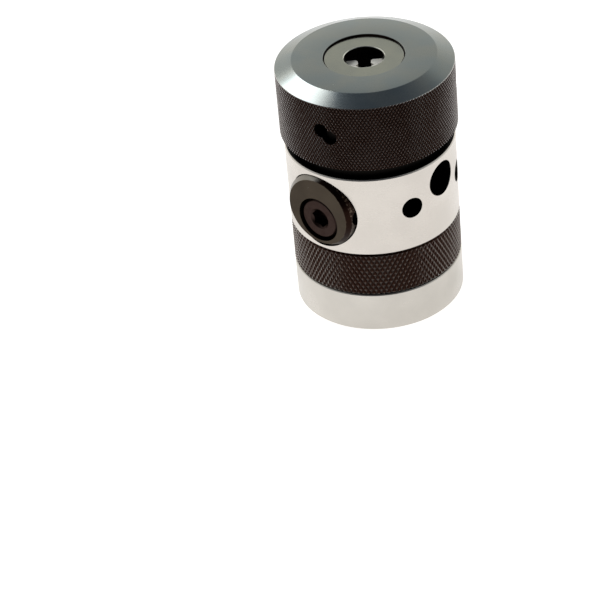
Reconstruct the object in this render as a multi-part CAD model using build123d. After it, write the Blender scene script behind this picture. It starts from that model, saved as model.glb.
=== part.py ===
from build123d import *
import os
from math import cos, pi, radians, sin, sqrt

# Tapping head standing on its back face, nose up. Millimetres, +Z along the tool axis towards the nose,
# origin at the centre of the back face. The lock boss looks along -Y.
# From the back: a drive hub with a taper bore, a knurled ring that sets the torque of a friction clutch,
# a housing with a floating spindle, and a knurled nose cap whose scroll moves two jaws.

# Outside sizes
body_diameter = 58.0
cap_diameter = 60.2
hub_height = 14.7
ring_height = 16.7
housing_height = 30.1
neck_height = 4.3
cap_height = 26.2

# Clearances
running_gap = 0.05
sliding_gap = 0.03
loose_gap = 0.3
face_gap = 0.15
press_step = 0.02
end_gap = 0.1
clip_gap = 0.05

# Drive taper, a B16 socket
taper_mouth_diameter = 15.733
taper_length = 24.0
taper_ratio = 20.02
taper_relief_radius = 5.5
taper_relief_length = 4.0

# Hub
edge_chamfer = 0.6
spigot_radius = 25.0
spigot_height = 1.8
stem_radius = 14.5
stem_flats = 25.6
shoulder_radius = 11.4
journal_tail = 0.7

# Clutch
nut_radius = 20.95
nut_height = 2.6
nut_travel = 1.0
thread_tail = 0.15
spring_count = 3
spring_bore_radius = 14.7
spring_rim_radius = 20.4
spring_plate = 0.6
spring_cone = 0.4
pressure_plate_radius = 20.6
pressure_plate_height = 1.2
disc_height = 0.9
disc_gap = 0.03
disc_rim_radius = 22.3
tab_radius = 23.5
tab_width = 5.0
tab_count = 4
tab_engagement = 0.9
steel_disc_step = 0.6
lining_bore_radius = 15.0
basket_wall = 1.6
basket_lip = 2.7
basket_skirt_reach = 0.4
basket_boss_radius = 15.0
basket_boss_height = 6.0
basket_screw_circle = 19.6
basket_screw_count = 3
basket_screw_azimuth = 90.0
basket_screw_radius = 1.5
basket_screw_head_radius = 2.75
basket_screw_head_height = 3.0
basket_screw_length = 7.0
basket_screw_flats = 2.5

# Roller bearing, 17 x 26 x 5
bearing_bore_radius = 8.5
bearing_rim_radius = 13.0
bearing_width = 5.0
roller_radius = 1.1
roller_count = 8
roller_gap = 0.02
bearing_rib_wall = 1.8
bearing_rib_height = 0.8
circlip_height = 1.0
circlip_groove = 0.7
circlip_width = 1.4
circlip_opening = 4.0
cage_wall = 0.5
cage_pocket_gap = 0.06

# Housing and floating spindle. Each rise is counted from the housing's lower face.
basket_floor_height = 4.46
sleeve_radius = 17.15
sleeve_skirt_wall = 1.75
sleeve_skirt_gap = 2.4
sleeve_floor_gap = 1.4
float_in = 3.0
float_out = 1.5
float_spare = 0.2
neck_radius = 26.4
neck_wipe = 0.25
neck_bottom_depth = 1.7
neck_edge = 0.4
mouth_recess_radius = 28.2
mouth_recess_depth = 1.2
spring_well_radius = 9.5
spring_well_depth = 8.0
float_spring_radius = 7.4
float_wire_side = 1.5
float_spring_turns = 4.5
spring_seat_height = 1.2
spring_seat_bore_radius = 6.0
key_width = 5.0
key_length = 8.0
key_rise = 15.1
key_inner_radius = 15.3
key_outer_radius = 20.0
key_azimuth = -45.0

# Ports through the housing wall
port_azimuth = 2.5
port_side_angle = 27.0
port_side_radius = 3.8
port_side_rise = 16.0
port_sight_radius = 6.25
port_sight_rise = 21.4

# Lock boss and its screw
boss_azimuth = -90.0
boss_rise = 14.9
boss_radius = 13.3
boss_face_proud = 0.9
boss_chamfer_depth = 1.6
boss_chamfer_width = 1.2
boss_height = 5.3
boss_pocket_gap = 0.35
boss_stem_radius = 9.0
boss_stem_gap = 0.72
boss_rim_hole_radius = 2.7
boss_rim_hole_height = 0.6
boss_rim_hole_depth = 5.5
lock_screw_rise = 11.8
lock_well_radius = 8.1
lock_well_depth = 6.5
lock_screw_radius = 3.95
lock_head_radius = 7.2
lock_head_height = 5.0
lock_head_recess = 0.6
lock_head_chamfer = 0.5
lock_tip_chamfer = 0.6
lock_socket_flats = 6.0
lock_socket_depth = 3.6
lock_socket_entry_radius = 3.85
lock_pad_length = 1.2
lock_pad_travel = 0.25

# Ring lock: a grub screw and a soft pad
grub_azimuth = 100.0
grub_rise = 5.1
grub_radius = 2.95
grub_length = 5.0
grub_recess = 1.0
grub_socket_flats = 3.0
grub_socket_depth = 2.5
grub_pad_gap = 0.25

# Nose: post, scroll, jaws, guide and face ring. Each drop is counted from the cap's face.
post_radius = 11.0
head_drop = 18.5
scroll_height = 6.1
scroll_pitch = 3.0
scroll_turns = 3.625
scroll_start_radius = 12.4
groove_width = 1.8
groove_depth = 2.0
tooth_width = 1.2
tooth_span = 5.0
tooth_count = 3
tooth_gap = 0.25
first_tooth_radius = 13.5
tap_bore_radius = 6.7
shank_bore_radius = 6.5
shank_bore_floor = 3.0
guide_radius = 24.8
guide_drop = 3.8
jaw_azimuth = 40.0
jaw_width = 7.0
jaw_foot_width = 10.0
jaw_foot_height = 4.0
jaw_foot_setback = 2.0
jaw_opening = 4.4
jaw_outer_radius = 21.7
jaw_vee_depth = 0.9
jaw_corner = 0.7
guide_screw_circle = 8.95
guide_screw_radius = 1.5
guide_screw_head_radius = 2.2
guide_screw_head_height = 3.0
guide_screw_length = 10.0
guide_screw_flats = 2.0
screw_head_recess = 0.2
face_ring_radius = 13.4
face_ring_height = 3.1
face_ring_edge = 0.2
face_ring_bore_edge = 0.25
cap_flat_diameter = 48.4
cap_chamfer_height = 2.5
cap_plate = 3.6
cap_edge = 0.5
spanner_hole_radius = 2.6
spanner_hole_azimuth = -81.7
spanner_hole_drop = 12.3
spanner_hole_count = 3
spanner_hole_floor = 0.5
spanner_spot_gap = 0.15
pin_hole_azimuth = -76.0
pin_hole_drop = 14.4
pin_radius = 2.0
pin_length = 5.5

# Levels and radii that follow from the sizes above
body_radius = body_diameter / 2
cap_radius = cap_diameter / 2
housing_bottom = hub_height + ring_height
housing_top = housing_bottom + housing_height
cap_bottom = housing_top + neck_height
cap_top = cap_bottom + cap_height

spigot_top = hub_height + spigot_height
grub_level = hub_height + grub_rise
nut_bottom = spigot_top + nut_travel + end_gap
spring_bottom = nut_bottom + nut_height + disc_gap
spring_step = spring_plate + spring_cone
plate_bottom = spring_bottom + spring_count * spring_step + disc_gap
pack_bottom = plate_bottom + pressure_plate_height + disc_gap
disc_step = disc_height + disc_gap
basket_bottom = pack_bottom + 5 * disc_step
skirt_bottom = pack_bottom - basket_skirt_reach
basket_inner_radius = tab_radius - tab_engagement
basket_radius = basket_inner_radius + basket_wall
seat_top = basket_bottom + basket_floor_height
bearing_bottom = basket_bottom + basket_lip
bearing_top = bearing_bottom + bearing_width
circlip_bottom = bearing_top + clip_gap
circlip_top = circlip_bottom + circlip_height + clip_gap
journal_top = circlip_bottom + circlip_height + journal_tail
boss_top = seat_top + basket_boss_height
bearing_middle = bearing_bottom + bearing_width / 2
roller_circle = (bearing_bore_radius + bearing_rim_radius) / 2
roller_length = bearing_width - 2 * bearing_rib_height

bore_radius = sleeve_radius + sliding_gap
spring_seat_top = boss_top + spring_seat_height
sleeve_skirt_bottom = seat_top + float_in + sleeve_skirt_gap
sleeve_floor_level = spring_seat_top + float_in + sleeve_floor_gap
spring_well_top = sleeve_floor_level + spring_well_depth
shank_bore_bottom = spring_well_top + shank_bore_floor
key_bottom = housing_bottom + key_rise
port_side_level = housing_bottom + port_side_rise
port_sight_level = housing_bottom + port_sight_rise
neck_bottom = housing_top - neck_bottom_depth
mouth_floor = neck_bottom - float_in - float_spare
cap_bore_radius = neck_radius + running_gap
head_top = cap_top - head_drop
guide_top = cap_top - guide_drop
spanner_hole_level = cap_top - spanner_hole_drop
pin_hole_level = cap_top - pin_hole_drop
scroll_bottom = head_top + end_gap
scroll_top = scroll_bottom + scroll_height
guide_bottom = scroll_top + end_gap
jaw_top = guide_top - end_gap
plate_underside = cap_top - cap_plate
face_ring_top = guide_top + face_ring_height
boss_level = housing_bottom + boss_rise
boss_face_distance = body_radius + boss_face_proud
boss_seat_distance = boss_face_distance - boss_height
boss_stem_end = bore_radius + boss_stem_gap
boss_rim_hole_distance = boss_seat_distance + boss_rim_hole_height
lock_screw_level = housing_bottom + lock_screw_rise
lock_head_top = boss_face_distance - lock_head_recess
lock_head_bottom = lock_head_top - lock_head_height
lock_tip = sleeve_radius + lock_pad_travel + sliding_gap + lock_pad_length

base = (Align.CENTER, Align.CENTER, Align.MIN)


def turned(*outline):
    """A round piece from the (radius, height) corners of its half outline."""
    corners = [(radius, 0, level) for radius, level in outline]
    return revolve(make_face(Polyline(*corners, close=True)), Axis.Z)


def upright(radius, bottom, top):
    """A plain cylinder on the tool axis between two levels."""
    return Pos(0, 0, bottom) * Cylinder(radius, top - bottom, align=base)


def radial(azimuth, level, near):
    """The place of a piece that points straight out of the tool axis, starting at distance near."""
    return Rot(0, 0, azimuth) * Pos(near, 0, level) * Rot(0, 90, 0)


def radial_rod(azimuth, level, near, far, radius):
    """A round rod or drill that runs straight out of the tool axis."""
    return radial(azimuth, level, near) * Cylinder(radius, far - near, align=base)


def hexagon(flats, depth):
    """A hexagonal key socket as a solid, standing on the plane it is cut down to."""
    return extrude(RegularPolygon(flats / sqrt(3), 6), depth)


def with_flats(radius, bottom, top, flats):
    """A round bar with two flats that face +X and -X."""
    bar = upright(radius, bottom, top)
    return bar & Pos(0, 0, bottom) * Box(flats, 3 * radius, top - bottom, align=base)


def around(count, piece, first=0.0):
    """The piece repeated evenly round the tool axis."""
    return [Rot(0, 0, first + number * 360 / count) * piece for number in range(count)]


def make_hub():
    """The drive hub: flange, spigot, stem with flats, bearing journal and taper bore."""
    flange = turned(
        (0, 0), (body_radius - edge_chamfer, 0), (body_radius, edge_chamfer),
        (body_radius, hub_height - edge_chamfer / 2), (body_radius - edge_chamfer / 2, hub_height),
        (spigot_radius, hub_height), (spigot_radius, spigot_top), (0, spigot_top),
    )
    stem = with_flats(stem_radius, spigot_top, basket_bottom - end_gap, stem_flats)
    journal = turned(
        (0, spigot_top), (shoulder_radius, spigot_top), (shoulder_radius, bearing_bottom),
        (bearing_bore_radius, bearing_bottom), (bearing_bore_radius, circlip_bottom),
        (bearing_bore_radius - circlip_groove, circlip_bottom),
        (bearing_bore_radius - circlip_groove, circlip_top), (bearing_bore_radius, circlip_top),
        (bearing_bore_radius, journal_top), (0, journal_top),
    )
    mouth = taper_mouth_diameter / 2
    throat = mouth - taper_length / taper_ratio / 2
    relief_top = taper_length + taper_relief_length
    socket = turned(
        (0, 0), (mouth, 0), (throat, taper_length), (taper_relief_radius, taper_length),
        (taper_relief_radius, relief_top), (0, relief_top + taper_relief_radius / 2),
    )
    return flange + stem + journal - socket


def make_torque_ring():
    """The knurled ring that turns on the hub's spigot and drives the adjusting nut by its thread."""
    bottom = hub_height + face_gap
    top = housing_bottom - loose_gap
    thread_top = grub_level + grub_radius + thread_tail
    ring = turned(
        (spigot_radius + running_gap, bottom), (body_radius - edge_chamfer, bottom),
        (body_radius, bottom + edge_chamfer), (body_radius, top - edge_chamfer),
        (body_radius - edge_chamfer, top), (basket_radius + loose_gap, top),
        (basket_radius + loose_gap, thread_top), (nut_radius + running_gap, thread_top),
        (nut_radius + running_gap, spigot_top + face_gap),
        (spigot_radius + running_gap, spigot_top + face_gap),
    )
    near = nut_radius - 2
    return ring - radial_rod(grub_azimuth, grub_level, near, body_radius + 1, grub_radius + press_step)


def make_grub_screw():
    """The grub screw that locks the torque ring, with its hexagonal socket outwards."""
    far = body_radius - grub_recess
    near = far - grub_length
    socket = radial(grub_azimuth, grub_level, far - grub_socket_depth)
    screw = radial_rod(grub_azimuth, grub_level, near, far, grub_radius)
    return screw - socket * hexagon(grub_socket_flats, grub_socket_depth + 1)


def make_grub_pad():
    """The soft pad between the grub screw and the thread of the adjusting nut."""
    near = nut_radius + grub_pad_gap
    far = body_radius - grub_recess - grub_length
    return radial_rod(grub_azimuth, grub_level, near, far, grub_radius)


def flat_bore(piece, bottom, top):
    """Cuts the bore with two flats that slides on the hub's stem."""
    room = with_flats(stem_radius + sliding_gap, bottom - 1, top + 1, stem_flats + 2 * sliding_gap)
    return piece - room


def make_nut():
    """The adjusting nut: keyed to the stem, moved along it by the ring's thread."""
    top = nut_bottom + nut_height
    return flat_bore(upright(nut_radius, nut_bottom, top), nut_bottom, top)


def make_disc_spring(number):
    """One coned disc spring; every second one is turned over, so that the rims meet."""
    low = spring_bottom + number * spring_step
    inner_low, rim_low = (low, low + spring_cone) if number % 2 == 0 else (low + spring_cone, low)
    return turned(
        (spring_bore_radius, inner_low), (spring_rim_radius, rim_low),
        (spring_rim_radius, rim_low + spring_plate), (spring_bore_radius, inner_low + spring_plate),
    )


def make_pressure_plate():
    """The plate between the springs and the discs."""
    top = plate_bottom + pressure_plate_height
    return flat_bore(upright(pressure_plate_radius, plate_bottom, top), plate_bottom, top)


def tabs(radius, width, bottom, height):
    """The outer tabs of a lined disc, or with a larger radius and width the slots for them."""
    bar = Pos(radius / 2 + 5, 0, bottom) * Box(radius - 10, width, height, align=base)
    rim = upright(radius, bottom, bottom + height)
    return [bar & rim for bar in around(tab_count, bar, 45)]


def make_friction_disc(number):
    """A lined disc, driven by its tabs in the basket's slots."""
    low = pack_bottom + 2 * number * disc_step
    disc = upright(disc_rim_radius, low, low + disc_height)
    for tab in tabs(tab_radius, tab_width, low, disc_height):
        disc += tab
    return disc - upright(lining_bore_radius, low - 1, low + 2)


def make_steel_disc(number):
    """A plain disc between two lined ones, keyed to the stem by its flats."""
    low = pack_bottom + (2 * number + 1) * disc_step
    top = low + disc_height
    return flat_bore(upright(disc_rim_radius - steel_disc_step, low, top), low, top)


def make_basket():
    """The clutch basket: slotted skirt, floor and the boss that holds the bearing."""
    seat = bearing_rim_radius
    basket = turned(
        (shoulder_radius + loose_gap, basket_bottom), (basket_inner_radius, basket_bottom),
        (basket_inner_radius, skirt_bottom), (basket_radius, skirt_bottom),
        (basket_radius, seat_top), (basket_boss_radius, seat_top), (basket_boss_radius, boss_top),
        (seat, boss_top), (seat, circlip_top), (seat + circlip_groove, circlip_top),
        (seat + circlip_groove, circlip_bottom), (seat, circlip_bottom),
        (seat, bearing_bottom), (shoulder_radius + loose_gap, bearing_bottom),
    )
    slot_height = basket_bottom - skirt_bottom
    for slot in tabs(basket_radius + 1, tab_width + 2 * sliding_gap, skirt_bottom, slot_height):
        basket -= slot
    place = Pos(basket_screw_circle, 0, 0)
    hole = place * upright(basket_screw_radius + running_gap, basket_bottom - 1, seat_top + 1)
    head_top_level = basket_bottom + basket_screw_head_height + screw_head_recess
    head = place * upright(basket_screw_head_radius + end_gap, basket_bottom - 1, head_top_level)
    for cut in around(basket_screw_count, hole + head, basket_screw_azimuth):
        basket -= cut
    return basket


def make_basket_screws():
    """The cap screws that hold the basket in the housing."""
    low = basket_bottom + screw_head_recess
    neck = low + basket_screw_head_height
    screw = upright(basket_screw_head_radius, low, neck)
    screw += upright(basket_screw_radius, neck, neck + basket_screw_length)
    screw -= Pos(0, 0, low - 1) * hexagon(basket_screw_flats, basket_screw_head_height / 2 + 1)
    screw = Pos(basket_screw_circle, 0, 0) * screw
    return Compound(children=around(basket_screw_count, screw, basket_screw_azimuth))


def make_bearing_ring(seat_side, rib_side, track_side):
    """One bearing ring from its radii: the side it is fitted by, its ribs and the track between them."""
    low = bearing_bottom + bearing_rib_height
    high = bearing_top - bearing_rib_height
    return turned(
        (seat_side, bearing_bottom), (rib_side, bearing_bottom), (rib_side, low), (track_side, low),
        (track_side, high), (rib_side, high), (rib_side, bearing_top), (seat_side, bearing_top),
    )


def make_rollers():
    """The bearing rollers, as separate solids."""
    half = roller_length / 2 - roller_gap
    roller = upright(roller_radius, bearing_middle - half, bearing_middle + half)
    roller = Pos(roller_circle, 0, 0) * roller
    return Compound(children=around(roller_count, roller))


def make_cage():
    """The cage that spaces the rollers: a thin band with a square pocket for each."""
    band = upright(roller_circle + cage_wall / 2, bearing_bottom, bearing_top)
    band -= upright(roller_circle - cage_wall / 2, bearing_bottom - 1, bearing_top + 1)
    width = 2 * (roller_radius + cage_pocket_gap)
    pocket = Pos(roller_circle, 0, bearing_middle) * Box(2, width, roller_length + 2 * cage_pocket_gap)
    for cut in around(roller_count, pocket):
        band -= cut
    return band


def make_circlip(inner, outer, gap_side):
    """A spring retaining ring with its gap."""
    ring = upright(outer, circlip_bottom, circlip_bottom + circlip_height)
    ring -= upright(inner, circlip_bottom - 1, circlip_bottom + 2)
    opening = Pos((inner + outer) / 2 * gap_side, 0, circlip_bottom - 1) * Box(
        outer - inner + 2, circlip_opening, circlip_height + 2, align=base)
    return ring - opening


def make_housing():
    """The housing: basket seat, spindle bore, mouth for the neck, ports, boss pocket and keyways."""
    mouth = neck_radius + neck_wipe
    recess = housing_top - mouth_recess_depth
    housing = turned(
        (basket_radius + press_step, housing_bottom), (body_radius - edge_chamfer / 2, housing_bottom),
        (body_radius, housing_bottom + edge_chamfer / 2), (body_radius, housing_top - edge_chamfer),
        (body_radius - edge_chamfer, housing_top), (mouth_recess_radius, housing_top),
        (mouth_recess_radius, recess), (mouth, recess), (mouth, mouth_floor), (bore_radius, mouth_floor),
        (bore_radius, seat_top), (basket_radius + press_step, seat_top),
    )
    for side in (-1, 1):
        azimuth = port_azimuth + side * port_side_angle
        housing -= radial_rod(azimuth, port_side_level, 0, body_radius + 1, port_side_radius)
    housing -= radial_rod(port_azimuth, port_sight_level, 0, body_radius + 1, port_sight_radius)
    pocket_radius = boss_radius + boss_pocket_gap
    stem_hole_radius = boss_stem_radius + press_step
    housing -= radial_rod(boss_azimuth, boss_level, boss_seat_distance, body_radius + 1, pocket_radius)
    housing -= radial_rod(boss_azimuth, lock_screw_level, 0, boss_seat_distance + 1, stem_hole_radius)
    for side in (0, 180):
        keyway = key_block(key_width + 2 * press_step, key_bottom, key_bottom + key_length)
        housing -= Rot(0, 0, key_azimuth + side) * Pos(press_step, 0, 0) * keyway
    hole_top = basket_bottom + basket_screw_head_height + basket_screw_length + 0.8
    hole = upright(basket_screw_radius + running_gap, seat_top - 1, hole_top)
    hole = Pos(basket_screw_circle, 0, 0) * hole
    for cut in around(basket_screw_count, hole, basket_screw_azimuth):
        housing -= cut
    return housing


def key_block(width, bottom, top):
    """A key with round ends in its keyway, on the +X side: its flat sides are width apart."""
    reach = key_outer_radius - key_inner_radius
    middle = (bottom + top) / 2
    outline = SlotOverall(top - bottom, width, rotation=0)
    return Pos(key_inner_radius, 0, middle) * Rot(0, 90, 0) * extrude(outline, reach)


def make_lock_boss():
    """The flanged boss in the housing's pocket, bored out with the mouth that the neck dips into.

    Its stem is off centre, which keeps it from turning.
    """
    seat = radial(boss_azimuth, boss_level, boss_seat_distance)
    disc = turned(
        (0, 0), (boss_radius, 0), (boss_radius, boss_height - boss_chamfer_depth),
        (boss_radius - boss_chamfer_width, boss_height), (0, boss_height),
    )
    boss = seat * disc
    stem_root = boss_seat_distance + 1
    boss += radial_rod(boss_azimuth, lock_screw_level, boss_stem_end, stem_root, boss_stem_radius)
    well_floor = boss_face_distance - lock_well_depth
    well_mouth = boss_face_distance + 1
    boss -= radial_rod(boss_azimuth, lock_screw_level, well_floor, well_mouth, lock_well_radius)
    boss -= radial_rod(boss_azimuth, lock_screw_level, 0, body_radius, lock_screw_radius + running_gap)
    boss -= upright(neck_radius + neck_wipe, mouth_floor, housing_top)
    rim_floor = Pos(boss_rim_hole_distance, boss_radius - boss_rim_hole_depth, boss_level)
    turn = Rot(0, 0, boss_azimuth) * rim_floor
    rim_hole = turn * Rot(-90, 0, 0) * Cylinder(boss_rim_hole_radius, boss_rim_hole_depth + 1, align=base)
    return boss - rim_hole


def make_lock_screw():
    """The low-head socket screw in the boss, with a countersunk entry to its socket."""
    place = radial(boss_azimuth, lock_screw_level, 0)
    edge = lock_head_top - lock_head_chamfer
    entry = lock_head_top - (lock_socket_entry_radius - lock_socket_flats / 2)
    screw = place * turned(
        (0, lock_tip), (lock_screw_radius - lock_tip_chamfer, lock_tip),
        (lock_screw_radius, lock_tip + lock_tip_chamfer), (lock_screw_radius, lock_head_bottom),
        (lock_head_radius, lock_head_bottom), (lock_head_radius, edge),
        (lock_head_radius - lock_head_chamfer, lock_head_top), (lock_socket_entry_radius, lock_head_top),
        (lock_socket_flats / 2, entry), (0, entry),
    )
    socket = radial(boss_azimuth, lock_screw_level, lock_head_top - lock_socket_depth)
    return screw - socket * Rot(0, 0, 15) * hexagon(lock_socket_flats, lock_socket_depth + 1)


def make_lock_pad():
    """The soft pad that the lock screw pushes against the spindle's sleeve."""
    near = lock_tip - lock_pad_length
    return radial_rod(boss_azimuth, lock_screw_level, near, lock_tip, lock_screw_radius - sliding_gap)


def make_spindle():
    """The floating spindle: sleeve with keyways, neck, head and the post that the scroll turns on."""
    skirt_inner = sleeve_radius - sleeve_skirt_wall
    spindle = turned(
        (0, spring_well_top), (spring_well_radius, spring_well_top),
        (spring_well_radius, sleeve_floor_level), (skirt_inner, sleeve_floor_level),
        (skirt_inner, sleeve_skirt_bottom),
        (sleeve_radius, sleeve_skirt_bottom), (sleeve_radius, neck_bottom),
        (neck_radius - neck_edge, neck_bottom), (neck_radius, neck_bottom + neck_edge),
        (neck_radius, head_top), (post_radius, head_top), (post_radius, guide_bottom),
        (shank_bore_radius, guide_bottom), (shank_bore_radius, shank_bore_bottom), (0, shank_bore_bottom),
    )
    low = key_bottom - float_out - end_gap
    high = key_bottom + key_length + float_in + end_gap
    for side in (0, 180):
        keyway = Pos(-float_spare, 0, 0) * key_block(key_width + 2 * sliding_gap, low, high)
        spindle -= Rot(0, 0, key_azimuth + side) * keyway
    return drill_guide_screws(spindle)


def guide_screw_places():
    """The two guide screws stand across the jaws' slot."""
    return [Rot(0, 0, jaw_azimuth + side) * Pos(guide_screw_circle, 0, 0) for side in (90, -90)]


def drill_guide_screws(piece):
    """Cuts the guide screws' holes and the wells of their heads."""
    head_bottom = guide_top - guide_screw_head_height - screw_head_recess
    tip = head_bottom - guide_screw_length
    for place in guide_screw_places():
        piece -= place * upright(guide_screw_radius + press_step, tip - 0.5, guide_top + 1)
        piece -= place * upright(guide_screw_head_radius + clip_gap, head_bottom, guide_top + 1)
    return piece


def make_guide_screws():
    """The cap screws that hold the jaw guide on the post."""
    head_bottom = guide_top - guide_screw_head_height - screw_head_recess
    head_top_level = head_bottom + guide_screw_head_height
    screw = upright(guide_screw_radius, head_bottom - guide_screw_length, head_bottom)
    screw += upright(guide_screw_head_radius, head_bottom, head_top_level)
    screw -= Pos(0, 0, head_top_level - guide_screw_head_height / 2) * hexagon(guide_screw_flats, 2)
    return Compound(children=[place * screw for place in guide_screw_places()])


def make_scroll():
    """The scroll: a flat ring with a spiral groove that the jaws' teeth run in."""
    ring = upright(cap_bore_radius - press_step, scroll_bottom, scroll_top)
    ring -= upright(post_radius + running_gap, scroll_bottom - 1, scroll_top + 1)
    outer, inner = [], []
    steps = round(scroll_turns * 4) * 2
    for point in range(steps + 1):
        angle = 2 * pi * scroll_turns * point / steps
        middle = scroll_start_radius + scroll_pitch * angle / (2 * pi)
        for rail, side in ((outer, groove_width / 2), (inner, -groove_width / 2)):
            rail.append(((middle + side) * cos(angle), -(middle + side) * sin(angle)))
    rails = [Line(outer[-1], inner[-1]), Line(inner[0], outer[0])]
    for point in range(0, steps, 2):
        rails += [ThreePointArc(*rail[point:point + 3]) for rail in (outer, inner)]
    groove = extrude(make_face(rails), groove_depth + 1)
    ring -= Pos(0, 0, scroll_top - groove_depth) * Rot(0, 0, scroll_phase()) * groove
    for azimuth in spanner_hole_azimuths():
        spot_floor = cap_bore_radius - spanner_hole_floor - spanner_spot_gap
        spot_radius = spanner_hole_radius + running_gap
        ring -= radial_rod(azimuth, spanner_hole_level, spot_floor, cap_radius, spot_radius)
    far = cap_bore_radius + 1
    near = far - pin_length
    return ring - radial_rod(pin_hole_azimuth, pin_hole_level, near, far, pin_radius + press_step)


def spanner_hole_azimuths():
    """The directions of the spanner holes; each goes a little way into the scroll behind the cap."""
    step = 360 / spanner_hole_count
    return [spanner_hole_azimuth + number * step for number in range(spanner_hole_count)]


def scroll_phase():
    """The turn of the scroll that puts its groove over the first jaw's teeth."""
    return jaw_azimuth + 360 * (first_tooth_radius - scroll_start_radius) / scroll_pitch


def make_jaw(number):
    """A jaw: foot and rail in the guide's T-slot, teeth below, vee and corner breaks at its inner end."""
    inner = jaw_opening / 2
    length = jaw_outer_radius - inner
    foot_low = guide_bottom + clip_gap
    foot_top = guide_bottom + jaw_foot_height
    corner = (Align.MIN, Align.CENTER, Align.MIN)
    foot_size = (length - jaw_foot_setback, jaw_foot_width, foot_top - foot_low)
    jaw = Pos(inner, 0, foot_low) * Box(length, jaw_width, jaw_top - foot_low, align=corner)
    jaw += Pos(inner + jaw_foot_setback, 0, foot_low) * Box(*foot_size, align=corner)
    jaw = jaw & upright(jaw_outer_radius, foot_low, jaw_top)
    vee = Pos(inner - 0.001, 0, foot_low - 1) * Rot(0, 0, 45) * Box(
        jaw_vee_depth * sqrt(2), jaw_vee_depth * sqrt(2), 20, align=base)
    jaw -= vee
    for side in (-1, 1):
        break_edge = Pos(inner, side * jaw_width / 2, foot_low - 1) * Rot(0, 0, 45) * Box(
            jaw_corner * sqrt(2), jaw_corner * sqrt(2), 20, align=base)
        jaw -= break_edge
    for tooth in range(tooth_count):
        middle = first_tooth_radius + (tooth + number / 2) * scroll_pitch
        band = upright(middle + tooth_width / 2, scroll_top - groove_depth + tooth_gap, foot_low)
        band -= upright(middle - tooth_width / 2, scroll_bottom, foot_low + 1)
        jaw += band & Pos(middle, 0, scroll_bottom) * Box(6, tooth_span, scroll_height + 2, align=base)
    return Rot(0, 0, jaw_azimuth + 180 * number) * jaw


def make_guide():
    """The jaw guide: a thick disc with a T-slot across it and the tap bore through it."""
    guide = upright(guide_radius, guide_bottom, guide_top)
    foot_top = guide_bottom + jaw_foot_height + clip_gap
    slot = Pos(0, 0, guide_bottom - 1) * Box(2 * guide_radius + 2, jaw_foot_width + 2 * sliding_gap,
                                             foot_top - guide_bottom + 1, align=base)
    rail = Pos(0, 0, guide_bottom - 1) * Box(2 * guide_radius - 1, jaw_width + 2 * sliding_gap,
                                             guide_top - guide_bottom + 2, align=base)
    guide -= Rot(0, 0, jaw_azimuth) * (slot + rail)
    guide -= upright(shank_bore_radius, guide_bottom - 1, guide_top + 1)
    return drill_guide_screws(guide)


def make_face_ring():
    """The face ring round the tap bore, a little below the cap's face."""
    return turned(
        (tap_bore_radius, guide_top), (face_ring_radius, guide_top),
        (face_ring_radius, face_ring_top - face_ring_edge),
        (face_ring_radius - face_ring_edge, face_ring_top),
        (tap_bore_radius + face_ring_bore_edge, face_ring_top),
        (tap_bore_radius, face_ring_top - face_ring_bore_edge),
    )


def make_cap():
    """The nose cap: a cup over the head, with spanner holes in its knurled wall."""
    inner = guide_radius + loose_gap
    opening = face_ring_radius + loose_gap
    cap = turned(
        (cap_bore_radius, cap_bottom), (cap_radius - cap_edge, cap_bottom),
        (cap_radius, cap_bottom + cap_edge), (cap_radius, cap_top - cap_chamfer_height),
        (cap_flat_diameter / 2, cap_top), (opening, cap_top), (opening, plate_underside),
        (inner, plate_underside), (inner, scroll_top), (cap_bore_radius, scroll_top),
    )
    near = cap_bore_radius - spanner_hole_floor
    far = cap_radius + 1
    for azimuth in spanner_hole_azimuths():
        cap -= radial_rod(azimuth, spanner_hole_level, near, far, spanner_hole_radius)
    return cap - radial_rod(pin_hole_azimuth, pin_hole_level, near, far, spanner_hole_radius)


def make_scroll_pin():
    """The pin that ties the scroll to the cap, deep in its hole."""
    far = cap_bore_radius + 1
    return radial_rod(pin_hole_azimuth, pin_hole_level, far - pin_length, far, pin_radius)


def make_spring_seat():
    """The washer on the basket's boss that the coil spring stands on."""
    rim = basket_boss_radius - end_gap
    return turned(
        (spring_seat_bore_radius, boss_top), (rim, boss_top),
        (rim, spring_seat_top), (spring_seat_bore_radius, spring_seat_top),
    )


def make_float_spring():
    """The coil spring of square wire that holds the spindle out."""
    low = spring_seat_top + float_wire_side / 2
    height = spring_well_top - float_wire_side / 2 - low
    path = Pos(0, 0, low) * Helix(height / float_spring_turns, height, float_spring_radius)
    start = Plane(origin=path @ 0, x_dir=(1, 0, 0), z_dir=path % 0)
    section = start * Rectangle(float_wire_side, float_wire_side)
    return sweep(section, path, is_frenet=True)


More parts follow.
